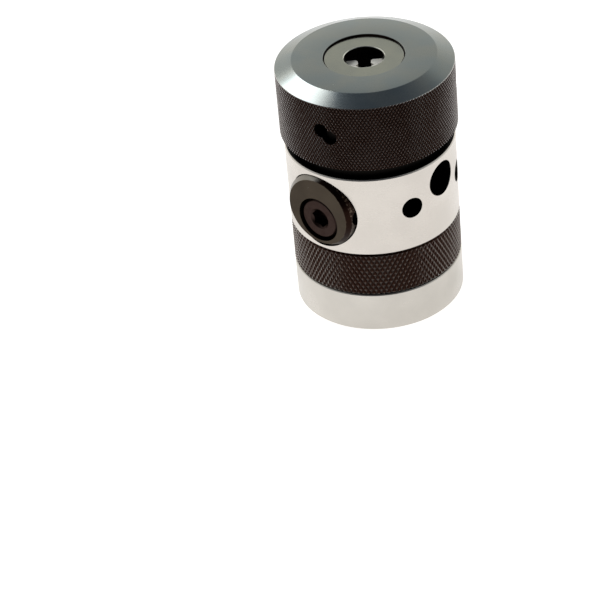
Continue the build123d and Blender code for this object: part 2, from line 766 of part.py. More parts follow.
pieces = {
    "drive_hub": make_hub(),
    "torque_ring": make_torque_ring(),
    "ring_lock_screw": make_grub_screw(),
    "ring_lock_pad": make_grub_pad(),
    "adjusting_nut": make_nut(),
    "pressure_plate": make_pressure_plate(),
    "clutch_basket": make_basket(),
    "basket_screws": make_basket_screws(),
    "bearing_inner_ring": make_bearing_ring(
        bearing_bore_radius + press_step / 2, bearing_bore_radius + bearing_rib_wall,
        roller_circle - roller_radius - roller_gap),
    "bearing_outer_ring": make_bearing_ring(
        bearing_rim_radius - press_step / 2, bearing_rim_radius - bearing_rib_wall,
        roller_circle + roller_radius + roller_gap),
    "bearing_rollers": make_rollers(),
    "bearing_cage": make_cage(),
    "shaft_circlip": make_circlip(
        bearing_bore_radius - circlip_groove + running_gap, bearing_bore_radius + circlip_width, 1),
    "bore_circlip": make_circlip(
        bearing_rim_radius - circlip_width, bearing_rim_radius + circlip_groove - running_gap, -1),
    "spring_seat": make_spring_seat(),
    "float_spring": make_float_spring(),
    "housing": make_housing(),
    "lock_boss": make_lock_boss(),
    "lock_screw": make_lock_screw(),
    "lock_pad": make_lock_pad(),
    "spindle": make_spindle(),
    "jaw_guide": make_guide(),
    "guide_screws": make_guide_screws(),
    "face_ring": make_face_ring(),
    "nose_cap": make_cap(),
    "scroll_ring": make_scroll(),
    "scroll_pin": make_scroll_pin(),
}
for number in range(spring_count):
    pieces[f"disc_spring_{number + 1}"] = make_disc_spring(number)
for number in range(3):
    pieces[f"friction_disc_{number + 1}"] = make_friction_disc(number)
for number in range(2):
    pieces[f"steel_disc_{number + 1}"] = make_steel_disc(number)
    pieces[f"jaw_{number + 1}"] = make_jaw(number)
    key = key_block(key_width, key_bottom, key_bottom + key_length)
    pieces[f"drive_key_{number + 1}"] = Rot(0, 0, key_azimuth + 180 * number) * key

os.makedirs("parts", exist_ok=True)
for name, piece in pieces.items():
    export_step(piece, f"parts/{name}.step")
    print(name, round(piece.volume, 1))
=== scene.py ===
import logging
import math
from dataclasses import dataclass, field
from enum import Enum
from functools import cache
from typing import Any, Iterable

import bmesh
import bpy
from mathutils import Matrix, Vector


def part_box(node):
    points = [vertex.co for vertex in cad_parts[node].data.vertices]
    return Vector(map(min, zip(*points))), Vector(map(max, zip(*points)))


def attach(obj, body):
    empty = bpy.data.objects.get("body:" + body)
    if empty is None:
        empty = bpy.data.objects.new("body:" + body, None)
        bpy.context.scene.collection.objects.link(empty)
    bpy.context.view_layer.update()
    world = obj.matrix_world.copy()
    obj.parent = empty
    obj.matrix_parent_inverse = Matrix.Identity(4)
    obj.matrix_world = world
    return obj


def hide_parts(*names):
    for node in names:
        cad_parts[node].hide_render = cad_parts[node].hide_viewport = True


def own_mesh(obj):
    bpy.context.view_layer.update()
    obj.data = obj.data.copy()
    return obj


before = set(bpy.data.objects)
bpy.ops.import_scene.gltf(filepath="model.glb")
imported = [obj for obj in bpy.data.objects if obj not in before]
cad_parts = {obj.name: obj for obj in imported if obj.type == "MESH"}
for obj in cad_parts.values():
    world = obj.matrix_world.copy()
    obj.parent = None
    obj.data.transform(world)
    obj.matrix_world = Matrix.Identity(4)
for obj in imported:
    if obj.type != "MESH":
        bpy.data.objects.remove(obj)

log = logging.getLogger("tapping_head")

MM = 0.001
# The axes of the lock boss and of its screw, which sits a little low in it.
BOSS_LEVEL = 46.3 * MM
SCREW_LEVEL = 43.2 * MM
# How far apart corners may lie and still be at one level, in one plane or one and the same.
LEVEL_SLACK = 1e-6
PLANE_SLACK = 1e-7
WELD = 2e-6
# How far off a hole's wall the middle of one of its faces may lie.
WALL_SLACK = 1e-5
HOLE_SIDES = 48

Colour = tuple[float, float, float]
Outline = list[tuple[float, float]]

# Near black, painted as the shade deep in bores and gaps.
SHADE_BLACK: Colour = (0.004, 0.0035, 0.003)
DUST: Colour = (0.62, 0.60, 0.56)
# Light steel for rubbed rims, which also serves as a painted highlight along them.
BARE_STEEL_AND_HIGHLIGHT: Colour = (0.80, 0.79, 0.72)


class Grain(Enum):
    """How a metal surface was last worked."""

    TURNED = "rings round the tool axis"
    RADIAL = "rings round the lock boss's screw"
    PLAIN = "no lay at all"


class Value:
    """A number that runs through a material's nodes and is reckoned with like any other."""

    def __init__(self, graph: "Graph", socket: bpy.types.NodeSocket) -> None:
        """Wraps one output socket of a graph."""
        self.graph = graph
        self.socket = socket

    def _math(self, operation: str, first: Any, second: Any) -> "Value":
        """One Math node on two numbers or values."""
        return self.graph.value("ShaderNodeMath", {"operation": operation}, {0: first, 1: second})

    def __add__(self, other: Any) -> "Value":
        """self + other."""
        return self._math("ADD", self, other)

    def __sub__(self, other: Any) -> "Value":
        """self - other."""
        return self._math("SUBTRACT", self, other)

    def __rsub__(self, other: Any) -> "Value":
        """other - self."""
        return self._math("SUBTRACT", other, self)

    def __mul__(self, other: Any) -> "Value":
        """self * other."""
        return self._math("MULTIPLY", self, other)

    def root(self) -> "Value":
        """The square root."""
        return self._math("SQRT", self, 0.0)

    def across(self, other: "Value") -> "Value":
        """The length of a vector with these two parts."""
        return (self * self + other * other).root()

    def above(self, edge: float, width: float) -> "Value":
        """A mask that rises from 0 to 1 over width, centred on edge.

        Args:
            edge: Where the mask is one half.
            width: The distance over which it rises.

        Returns:
            The mask.
        """
        sockets = {"Value": self, "From Min": edge - width / 2, "From Max": edge + width / 2}
        return self.graph.value("ShaderNodeMapRange", {"interpolation_type": "SMOOTHSTEP"}, sockets)

    def below(self, edge: float, width: float) -> "Value":
        """A mask that falls from 1 to 0 over width, centred on edge."""
        return 1.0 - self.above(edge, width)

    def near(self, middle: float, reach: float, width: float) -> "Value":
        """A mask that is 1 close to middle and falls to 0 over width, reach away on both sides."""
        return self._math("ABSOLUTE", self - middle, 0.0).below(reach, width)


class Graph:
    """The nodes of one material, or of the sky."""

    def __init__(self, name: str, sky: bool = False) -> None:
        """Starts an empty material of that name, or an empty sky.

        Args:
            name: The name of the material or sky.
            sky: Whether it is the sky, whose coordinates are directions.
        """
        self.owner = bpy.data.worlds.new(name) if sky else bpy.data.materials.new(name)
        self.owner.use_nodes = True
        self.tree = self.owner.node_tree
        self.tree.nodes.clear()
        place = self.node("ShaderNodeTexCoord", {}, {})
        self.point = place.outputs["Generated" if sky else "Object"]
        parts = self.node("ShaderNodeSeparateXYZ", {}, {0: self.point})
        self.x, self.y, self.z = (Value(self, parts.outputs[axis]) for axis in "XYZ")
        self.radius = self.x.across(self.y)

    def feed(self, entry: bpy.types.NodeSocket, given: Any) -> None:
        """Links a value or socket to an input, or sets the input to a number or colour."""
        if isinstance(given, Value):
            self.tree.links.new(given.socket, entry)
        elif isinstance(given, bpy.types.NodeSocket):
            self.tree.links.new(given, entry)
        elif isinstance(given, tuple):
            entry.default_value = (*given, 1.0)
        else:
            entry.default_value = given

    def node(self, kind: str, settings: dict[str, Any], sockets: dict[Any, Any]) -> bpy.types.Node:
        """Adds a node.

        Args:
            kind: The node's type name.
            settings: Its properties, set first; "stops" are a ramp's positions and colours.
            sockets: Numbers, colours, values or sockets, by the input's name or number.

        Returns:
            The new node.
        """
        made = self.tree.nodes.new(kind)
        for key, setting in settings.items():
            if key == "stops":
                ramp = made.color_ramp
                while len(ramp.elements) < len(setting):
                    ramp.elements.new(1.0)
                for element, (where, colour) in zip(ramp.elements, setting):
                    element.position = where
                    element.color = (*colour, 1.0)
            else:
                setattr(made, key, setting)
        for key, given in sockets.items():
            self.feed(made.inputs[key], given)
        return made

    def value(self, kind: str, settings: dict[str, Any], sockets: dict[Any, Any],
              output: Any = 0) -> Value:
        """Adds a node and returns one output as a value."""
        return Value(self, self.node(kind, settings, sockets).outputs[output])

    def vector(self, x: Any, y: Any, z: Any) -> bpy.types.NodeSocket:
        """Three numbers or values as one vector."""
        return self.node("ShaderNodeCombineXYZ", {}, {0: x, 1: y, 2: z}).outputs[0]

    def noise(self, scale: float, detail: float = 2.0, where: Any = None) -> Value:
        """Cloudy noise over the object's own coordinates.

        Args:
            scale: Noise cells per metre.
            detail: Octaves of finer noise.
            where: A vector to read instead of the object's coordinates.

        Returns:
            The noise, from 0 to 1.
        """
        sockets = {"Vector": where or self.point, "Scale": scale, "Detail": detail}
        return self.value("ShaderNodeTexNoise", {"noise_dimensions": "3D"}, sockets, "Fac")

    def mix(self, amount: Any, first: Any, second: Any) -> bpy.types.NodeSocket:
        """A colour between two colours."""
        sockets = {0: amount, 6: first, 7: second}
        return self.node("ShaderNodeMix", {"data_type": "RGBA"}, sockets).outputs[2]

    def patches(self, size: float, middle: float, width: float, detail: float = 3.0) -> Value:
        """A cloudy mask.

        Args:
            size: Size of a patch, in metres.
            middle: Where in the noise the mask is one half.
            width: The part of the noise over which it rises.
            detail: Octaves of finer noise.

        Returns:
            The mask.
        """
        return self.noise(1 / size, detail).above(middle, width)

    def specks(self, cell: float, size: float, share: float) -> Value:
        """Small round specks scattered over the surface.

        Args:
            cell: Distance between possible specks, in metres.
            size: Radius of a speck, in metres.
            share: The part of the cells that have one.

        Returns:
            A mask that is 1 on the specks.
        """
        sockets = {"Vector": self.point, "Scale": 1 / cell}
        cells = self.node("ShaderNodeTexVoronoi", {"feature": "F1"}, sockets)
        spot = Value(self, cells.outputs["Distance"]).below(size / cell, size / cell)
        picked = self.value("ShaderNodeSeparateColor", {}, {0: cells.outputs["Color"]})
        return spot * picked.above(1 - share, 0.002)

    def bump(self, height: Value, distance: float) -> bpy.types.NodeSocket:
        """A bumped normal.

        Args:
            height: The height, from 0 to 1.
            distance: What a height of 1 stands for, in metres.

        Returns:
            The normal.
        """
        sockets = {"Strength": 1.0, "Distance": distance, "Height": height}
        return self.node("ShaderNodeBump", {}, sockets).outputs[0]

    def finish(self, **sockets: Any) -> bpy.types.Material:
        """Ends the graph in a Principled shader.

        Args:
            sockets: The shader's inputs, with spaces written as underscores.

        Returns:
            The finished material.
        """
        named = {key.replace("_", " "): given for key, given in sockets.items()}
        shader = self.node("ShaderNodeBsdfPrincipled", {}, named)
        self.node("ShaderNodeOutputMaterial", {}, {0: shader.outputs[0]})
        return self.owner


@dataclass(frozen=True)
class MetalFinish:
    """A worked metal surface: its colours, its lay, what has settled on it, and the shade, sheen and
    highlights painted on it.
    """

    name: str
    colour: Colour
    clouded: Colour
    roughness: float = 0.35
    metallic: float = 1.0
    anisotropic: float = 0.0
    grain: Grain = Grain.TURNED
    grain_pitch: float = 0.25 * MM
    grain_height: float = 0.6e-6
    cloud_size: float = 9 * MM
    dust: float = 0.0
    crest_radius: float = 0.0
    crest: Colour = (0.045, 0.029, 0.023)
    # The pale colour of the painted sheen where a knurl is seen edge-on.
    painted_sheen: Colour = (0.0, 0.0, 0.0)
    edge_tint: Colour = (1.0, 1.0, 1.0)
    painted_shade_inside: float = 0.0
    rubbed_and_highlit_rims: tuple[float, ...] = ()

    def lay(self, graph: Graph) -> Value:
        """The fine marks of the last cut, as a height from 0 to 1."""
        if self.grain is Grain.PLAIN:
            return graph.noise(1 / self.grain_pitch, 3.0)
        if self.grain is Grain.RADIAL:
            where = graph.vector(graph.x.across(graph.z - SCREW_LEVEL), graph.y, 0.0)
        else:
            where = graph.vector(graph.radius, graph.z, 0.0)
        fine = graph.noise(1 / self.grain_pitch, 3.0, where)
        sweep = graph.noise(1 / (6 * self.grain_pitch), where=where)
        return fine * 0.7 + sweep * 0.3

    def stain_and_highlight(self, graph: Graph, colour: Any) -> Any:
        """Changes the colour where this finish differs over the piece, by wear or by a painted highlight;
        a plain metal stays as it is.
        """
        return colour

    def rub_crests_and_sheen(self, graph: Graph, colour: Any) -> Any:
        """Rubs what stands out furthest from the tool axis and paints a sheen where the knurl is seen
        edge-on.

        Args:
            graph: The material's nodes.
            colour: The colour without wear.

        Returns:
            The colour with patchy wear, and with a painted sheen where the knurl is seen from the side.
        """
        worn = graph.radius.above(self.crest_radius - 0.07 * MM, 0.08 * MM)
        patchy = graph.patches(1.1 * MM, 0.45, 0.4)
        colour = graph.mix(worn * (patchy * 0.5 + 0.45), colour, self.crest)
        if any(self.painted_sheen):
            # Painted sheen: the colour turns pale where the knurl is seen edge-on, standing for the bright
            # room reflected at grazing angles.
            facing = graph.value("ShaderNodeLayerWeight", {}, {"Blend": 0.5}, "Facing")
            colour = graph.mix((worn * 0.4 + 0.6) * facing.above(0.65, 0.5), colour, self.painted_sheen)
        return colour

    @cache
    def build(self) -> bpy.types.Material:
        """Makes the material.

        Returns:
            The finished node material.
        """
        graph = Graph(self.name)
        lay = self.lay(graph)
        cloud = graph.patches(self.cloud_size, 0.5, 0.45, 4.0)
        colour: Any = self.stain_and_highlight(graph, graph.mix(cloud, self.colour, self.clouded))
        roughness = (lay - 0.5) * 0.12 + (cloud - 0.5) * 0.06 + self.roughness
        if self.crest_radius:
            colour = self.rub_crests_and_sheen(graph, colour)
        # Painted shade: nearer the tool axis than the given radius the colour turns near black, for the
        # shade deep in the bore and in the gap under the cap.
        if self.painted_shade_inside:
            inside = graph.radius.below(self.painted_shade_inside, 0.06 * MM)
            colour = graph.mix(inside, colour, SHADE_BLACK)
            roughness = roughness + inside * 0.2
        # Patchy light rims: partly rubbed through to bare steel, partly a painted highlight along these
        # edges.
        for rim in self.rubbed_and_highlit_rims:
            rubbed = graph.radius.near(rim, 0.13 * MM, 0.14 * MM)
            patchy = graph.patches(2.2 * MM, 0.46, 0.3)
            colour = graph.mix(rubbed * (patchy * 0.6 + 0.15), colour, BARE_STEEL_AND_HIGHLIGHT)
        if self.dust:
            dust = graph.specks(1.6 * MM, 0.09 * MM, self.dust)
            colour = graph.mix(dust * 0.7, colour, DUST)
            roughness = roughness + dust * 0.3
        return graph.finish(
            Base_Color=colour, Metallic=self.metallic, Roughness=roughness,
            Anisotropic=self.anisotropic, Normal=graph.bump(lay, self.grain_height),
            Specular_Tint=self.edge_tint,
        )


@dataclass(frozen=True)
class BossFinish(MetalFinish):
    """The blackened lock boss: a turned face, a darker chamfer with a painted highlight on its upper left,
    and edges rubbed through.
    """

    chamfer_radius: float = 12.1 * MM
    rim_radius: float = 13.3 * MM
    # Where the painted highlight on the chamfer's upper left lies and how it fades.
    highlight_up: float = 0.766
    highlight_left: float = 0.643
    highlight_from: float = 9.2 * MM
    highlight_fade: float = 2.4 * MM
    chamfer: Colour = (0.014, 0.0065, 0.0045)
    # The light colour painted on the chamfer's upper left as a highlight.
    polished: Colour = (0.225, 0.205, 0.18)
    rubbed: Colour = (0.16, 0.12, 0.09)

    def stain_and_highlight(self, graph: Graph, colour: Any) -> Any:
        """Darkens the chamfer, paints a highlight on its upper left and rubs its two edges.

        Args:
            graph: The material's nodes.
            colour: The face's colour.

        Returns:
            The colour with the chamfer and the wear on it.
        """
        up = graph.z - BOSS_LEVEL
        reach = graph.x.across(up)
        # Painted highlight: the chamfer turns light towards its upper left, where it would catch the
        # light.
        upper_left = up * self.highlight_up - graph.x * self.highlight_left
        highlighted = upper_left.above(self.highlight_from, self.highlight_fade)
        chamfer = graph.mix(highlighted, self.chamfer, self.polished)
        colour = graph.mix(reach.above(self.chamfer_radius, 0.08 * MM), colour, chamfer)
        patchy = graph.patches(0.9 * MM, 0.58, 0.2, 4.0)
        edge = reach.near(self.chamfer_radius, 0.12 * MM, 0.16 * MM)
        rim = reach.near(self.rim_radius, 0.14 * MM, 0.2 * MM)
        return graph.mix((edge * 0.7 + rim) * patchy * 0.7, colour, self.rubbed)


@dataclass(frozen=True)
class LiningFinish:
    """The moulded friction lining: brown, dull and flecked with brass."""

    name: str
    colour: Colour = (0.13, 0.085, 0.05)
    clouded: Colour = (0.07, 0.05, 0.035)
    fleck: Colour = (0.55, 0.38, 0.16)

    @cache
    def build(self) -> bpy.types.Material:
        """Makes the material."""
        graph = Graph(self.name)
        flecks = graph.specks(0.7 * MM, 0.12 * MM, 0.35)
        moulded = graph.mix(graph.noise(900.0, 4.0), self.colour, self.clouded)
        colour = graph.mix(flecks, moulded, self.fleck)
        normal = graph.bump(graph.noise(2500.0, 3.0), 2e-5)
        return graph.finish(Base_Color=colour, Roughness=0.8 - flecks * 0.3, Normal=normal)


BLACK_FACE = MetalFinish(
    "black_face", (0.226, 0.250, 0.246), (0.252, 0.262, 0.241), roughness=0.22, anisotropic=0.2,
    grain_pitch=0.18 * MM, grain_height=0.3e-6, dust=0.035, crest_radius=30.02 * MM,
    crest=(0.55, 0.54, 0.52))
# The face ring is painted near black inside its opening, as the shade in the bore.
OLIVE_FACE = MetalFinish(
    "olive_face", (0.308, 0.308, 0.255), (0.271, 0.276, 0.236), roughness=0.24, anisotropic=0.2, dust=0.05,
    grain_pitch=0.16 * MM, grain_height=0.3e-6, painted_shade_inside=6.78 * MM,
    # Its two rims are partly worn and partly carry a painted highlight.
    rubbed_and_highlit_rims=(6.92 * MM, 13.3 * MM))
CAP_KNURL = MetalFinish(
    "cap_knurl", (0.0150, 0.0065, 0.0045), (0.0190, 0.0095, 0.0075), roughness=0.34, dust=0.05,
    grain=Grain.PLAIN, grain_pitch=0.2 * MM, grain_height=4e-6, crest_radius=30.1 * MM,
    painted_sheen=(0.80, 0.82, 0.83), edge_tint=(0.96, 0.88, 0.85))
RING_KNURL = MetalFinish(
    "ring_knurl", (0.0190, 0.0075, 0.0050), (0.0230, 0.0110, 0.0080), roughness=0.34, dust=0.05,
    grain=Grain.PLAIN, grain_pitch=0.2 * MM, grain_height=4e-6, crest_radius=29.0 * MM,
    crest=(0.085, 0.054, 0.041), painted_sheen=(0.95, 0.96, 0.93), edge_tint=(0.96, 0.88, 0.85))
BOSS_BLACK = BossFinish(
    "boss_black", (0.050, 0.038, 0.026), (0.038, 0.028, 0.019), roughness=0.36, anisotropic=0.3,
    grain=Grain.RADIAL, grain_pitch=0.22 * MM, dust=0.08)
SCREW_BLACK = MetalFinish(
    "screw_black", (0.023, 0.0135, 0.012), (0.031, 0.020, 0.0175), roughness=0.34, grain=Grain.PLAIN,
    grain_pitch=0.6 * MM, grain_height=1.5e-6, cloud_size=2 * MM, edge_tint=(0.92, 0.80, 0.75))
# The housing's top is painted near black inside the cap's overhang, as the shade in the gap under the cap.
HOUSING_STEEL = MetalFinish(
    "housing_steel", (0.645, 0.602, 0.558), (0.600, 0.560, 0.519), roughness=0.28, anisotropic=0.7,
    grain_pitch=0.14 * MM, grain_height=0.7e-6, cloud_size=14 * MM, painted_shade_inside=28.65 * MM)
HUB_STEEL = MetalFinish(
    "hub_steel", (0.600, 0.568, 0.525), (0.555, 0.527, 0.486), roughness=0.30, anisotropic=0.7,
    grain_pitch=0.14 * MM, grain_height=0.7e-6, cloud_size=12 * MM)
# Near black: the oiled, blackened inner parts, darkened further as painted shade because they sit deep
# inside the head; the walls of drilled holes wear it as painted shade too.
OILED_STEEL_IN_SHADE = MetalFinish(
    "oiled_steel_shaded", (0.006, 0.005, 0.005), (0.010, 0.009, 0.008), roughness=0.5, grain_pitch=0.3 * MM)
TURNED_STEEL = MetalFinish(
    "turned_steel", (0.42, 0.405, 0.385), (0.34, 0.325, 0.305), roughness=0.36, anisotropic=0.4,
    grain_pitch=0.35 * MM, grain_height=1.2e-6, cloud_size=7 * MM)
JAW_STEEL = MetalFinish(
    "jaw_steel", (0.95, 0.91, 0.82), (0.88, 0.84, 0.75), roughness=0.45, metallic=0.35,
    grain=Grain.PLAIN, grain_pitch=0.3 * MM, cloud_size=3 * MM)
BEARING_STEEL = MetalFinish(
    "bearing_steel", (0.72, 0.72, 0.72), (0.66, 0.66, 0.66), roughness=0.14, grain_pitch=0.1 * MM,
    grain_height=0.2e-6, cloud_size=5 * MM)
SPRING_STEEL = MetalFinish(
    "spring_steel", (0.10, 0.10, 0.11), (0.15, 0.14, 0.13), roughness=0.33, grain=Grain.PLAIN,
    grain_pitch=0.4 * MM, cloud_size=3 * MM)
BRASS = MetalFinish(
    "brass", (0.66, 0.45, 0.17), (0.55, 0.37, 0.15), roughness=0.32, cloud_size=3 * MM)
LINING = LiningFinish("friction_lining")

NODE_FINISHES: dict[MetalFinish | LiningFinish, list[str]] = {
    HUB_STEEL: ["drive_hub"],
    HOUSING_STEEL: ["housing"],
    BOSS_BLACK: ["lock_boss"],
    OLIVE_FACE: ["face_ring"],
    CAP_KNURL: ["nose_cap"],
    RING_KNURL: ["torque_ring"],
    SCREW_BLACK: ["lock_screw", "ring_lock_screw", "basket_screws", "guide_screws"],
    OILED_STEEL_IN_SHADE: ["spindle", "jaw_guide", "scroll_ring", "scroll_pin"],
    JAW_STEEL: ["jaw_1", "jaw_2"],
    TURNED_STEEL: ["adjusting_nut", "pressure_plate", "clutch_basket", "steel_disc_1", "steel_disc_2",
                   "spring_seat", "drive_key_1", "drive_key_2"],
    BEARING_STEEL: ["bearing_inner_ring", "bearing_outer_ring", "bearing_rollers"],
    SPRING_STEEL: ["disc_spring_1", "disc_spring_2", "disc_spring_3", "float_spring", "shaft_circlip",
                   "bore_circlip"],
    BRASS: ["ring_lock_pad", "lock_pad", "bearing_cage"],
    LINING: ["friction_disc_1", "friction_disc_2", "friction_disc_3"],
}


class Shape:
    """Mesh helpers shared by the sub-assemblies."""

    @staticmethod
    def radius(vert: bmesh.types.BMVert) -> float:
        """The vertex's distance from the tool axis."""
        return math.hypot(vert.co.x, vert.co.y)

    @staticmethod
    def to_ring(verts: Iterable[bmesh.types.BMVert], radius: float, level: float) -> None:
        """Moves vertices straight out or in to a circle at a level."""
        for vert in verts:
            reach = radius / Shape.radius(vert)
            vert.co = Vector((vert.co.x * reach, vert.co.y * reach, level))

    @staticmethod
    def rim(bm: bmesh.types.BMesh, level: float) -> list[bmesh.types.BMEdge]:
        """The open edges at a level."""
        return [edge for edge in bm.edges
                if edge.is_boundary and all(abs(vert.co.z - level) < LEVEL_SLACK for vert in edge.verts)]

    @staticmethod
    def carry(bm: bmesh.types.BMesh, rim: list[bmesh.types.BMEdge],
              outline: Outline) -> list[bmesh.types.BMEdge]:
        """Extrudes an open rim through the (radius, level) corners of an outline.

        Args:
            bm: The mesh.
            rim: The open edges to start from.
            outline: The corners, in metres.

        Returns:
            The open edges it ends on.
        """
        for radius, level in outline:
            made = bmesh.ops.extrude_edge_only(bm, edges=rim)["geom"]
            verts = [item for item in made if isinstance(item, bmesh.types.BMVert)]
            Shape.to_ring(verts, radius, level)
            rim = [item for item in made if isinstance(item, bmesh.types.BMEdge) and item.is_boundary]
        return rim

    @staticmethod
    def piece(bm: bmesh.types.BMesh, name: str, finish: bpy.types.Material,
              smooth_under: float) -> bpy.types.Object:
        """Turns a mesh into a finished object at the origin.

        Args:
            bm: The mesh, which is freed.
            name: The object's name.
            finish: Its material.
            smooth_under: Edges that bend less than this many degrees are shaded smooth.

        Returns:
            The object, linked to the scene.
        """
        bmesh.ops.recalc_face_normals(bm, faces=bm.faces)
        mesh = bpy.data.meshes.new(name)
        bm.to_mesh(mesh)
        bm.free()
        mesh.polygons.foreach_set("use_smooth", [True] * len(mesh.polygons))
        mesh.set_sharp_from_angle(angle=math.radians(smooth_under))
        mesh.materials.append(finish)
        piece = bpy.data.objects.new(name, mesh)
        bpy.context.scene.collection.objects.link(piece)
        return piece

    @staticmethod
    def drill(piece: bpy.types.Object, holes: list["Hole"], wall: bpy.types.Material) -> None:
        """Cuts round holes.

        Args:
            piece: The object to cut.
            holes: The holes.
            wall: The near-black finish painted on the holes' walls as their shade, which becomes the
                piece's last.
        """
        for hole in holes:
            drill = hole.drill()
            cut = piece.modifiers.new("drill", "BOOLEAN")
            cut.operation = "DIFFERENCE"
            cut.solver = "EXACT"
            cut.object = drill
            bpy.context.view_layer.update()
            drilled = piece.evaluated_get(bpy.context.evaluated_depsgraph_get())
            shaped = bpy.data.meshes.new_from_object(drilled)
            piece.modifiers.clear()
            whole, piece.data = piece.data, shaped
            solid = drill.data
            bpy.data.objects.remove(drill)
            for mesh in (whole, solid):
                bpy.data.meshes.remove(mesh)
            piece.data.name = piece.name
        piece.data.materials.append(wall)
        last = len(piece.data.materials) - 1
        for face in piece.data.polygons:
            if any(hole.holds(face.center) for hole in holes):
                face.material_index = last


@dataclass(frozen=True)
class Hole:
    """A round hole that points straight out of the tool axis; azimuth in degrees, the rest in metres."""

    azimuth: float
    level: float
    near: float
    far: float
    radius: float

    def drill(self) -> bpy.types.Object:
        """Makes the solid that fills the hole.

        Returns:
            A cylinder, linked to the scene.
        """
        middle = Matrix.Translation(((self.near + self.far) / 2, 0, self.level))
        turn = Matrix.Rotation(math.radians(self.azimuth), 4, "Z") @ middle
        bm = bmesh.new()
        bmesh.ops.create_cone(
            bm, cap_ends=True, segments=HOLE_SIDES, radius1=self.radius, radius2=self.radius,
            depth=self.far - self.near, matrix=turn @ Matrix.Rotation(math.radians(90), 4, "Y"))
        mesh = bpy.data.meshes.new("drill")
        bm.to_mesh(mesh)
        bm.free()
        drill = bpy.data.objects.new("drill", mesh)
        bpy.context.scene.collection.objects.link(drill)
        return drill

    def holds(self, point: Vector) -> bool:
        """Whether a point lies in the hole or on its wall."""
        out = Vector((math.cos(math.radians(self.azimuth)), math.sin(math.radians(self.azimuth)), 0))
        away = point - Vector((0, 0, self.level))
        along = away.dot(out)
        inside = (away - out * along).length < self.radius + WALL_SLACK
        return inside and self.near - WALL_SLACK < along < self.far


@dataclass
class Knurl:
    """A band of rolled diamonds: blunt pyramids on two families of thirty-degree grooves."""

    crest: float
    depth: float
    starts: int
    rows: int
    low: float
    high: float
    flat: float
    smooth_under: float = 12.0

    @property
    def half_width(self) -> float:
        """Half the width of a diamond, measured round the band."""
        return math.pi * self.crest / self.starts

    @property
    def half_row(self) -> float:
        """Half the height of a diamond."""
        return (self.high - self.low) / self.rows

    def column(self, bm: bmesh.types.BMesh, across: float, first: int, count: int) -> None:
        """Adds one upright column of diamonds to a flat strip.

        Args:
            bm: The mesh; X is height above the axis, Y the distance round, Z the level.
            across: The distance round of the column's middle.
            first: The half row that the lowest diamond is centred on.
            count: How many diamonds it has.
        """
        shape = Matrix.Diagonal((self.half_width, self.half_row, self.depth, 1.0))
        stand = Matrix.Translation((self.crest - self.depth / 2, across, 0)) @ Matrix.Rotation(
            math.radians(90), 4, "Z") @ Matrix.Rotation(math.radians(90), 4, "X")
        for number in range(count):
            level = self.low + (first + 2 * number) * self.half_row
            bmesh.ops.create_cone(
                bm, cap_ends=True, segments=4, radius1=1.0, radius2=self.flat, depth=1.0,
                matrix=Matrix.Translation((0, 0, level)) @ stand @ shape)

    def build(self) -> bmesh.types.BMesh:
        """Makes the open band.

        Returns:
            The mesh, open at its low and high edges.
        """
        bm = bmesh.new()
        self.column(bm, 0.0, 0, self.rows // 2 + 1)
        self.column(bm, self.half_width, 1, self.rows // 2)
        root = self.crest - self.depth
        floors = [face for face in bm.faces
                  if all(abs(vert.co.x - root) < PLANE_SLACK for vert in face.verts)]
        bmesh.ops.delete(bm, geom=floors, context="FACES_ONLY")
        for level, way in ((self.low, -1), (self.high, 1)):
            bmesh.ops.bisect_plane(
                bm, geom=bm.verts[:] + bm.edges[:] + bm.faces[:], dist=PLANE_SLACK,
                plane_co=(0, 0, level), plane_no=(0, 0, way), clear_outer=True)
        for vert in bm.verts:
            angle = vert.co.y / self.crest
            vert.co = Vector((vert.co.x * math.cos(angle), vert.co.x * math.sin(angle), vert.co.z))
        copies = self.starts - 1
        bmesh.ops.spin(
            bm, geom=bm.verts[:] + bm.edges[:] + bm.faces[:], cent=(0, 0, 0), axis=(0, 0, 1),
            dvec=(0, 0, 0), angle=2 * math.pi * copies / self.starts, steps=copies, use_duplicate=True)
        bmesh.ops.remove_doubles(bm, verts=bm.verts, dist=WELD)
        return bm

    def close(self, outline: Outline, name: str, finish: MetalFinish) -> bpy.types.Object:
        """Makes the band and closes it into a solid piece.

        Args:
            outline: The (radius, level) corners from the band's low edge round to its high edge.
            name: The piece's name.
            finish: The band's finish.

        Returns:
            The piece.
        """
        bm = self.build()
        high = Shape.rim(bm, self.high)
        end = Shape.carry(bm, Shape.rim(bm, self.low), outline)
        bmesh.ops.bridge_loops(bm, edges=end + high)
        return Shape.piece(bm, name, finish.build(), self.smooth_under)


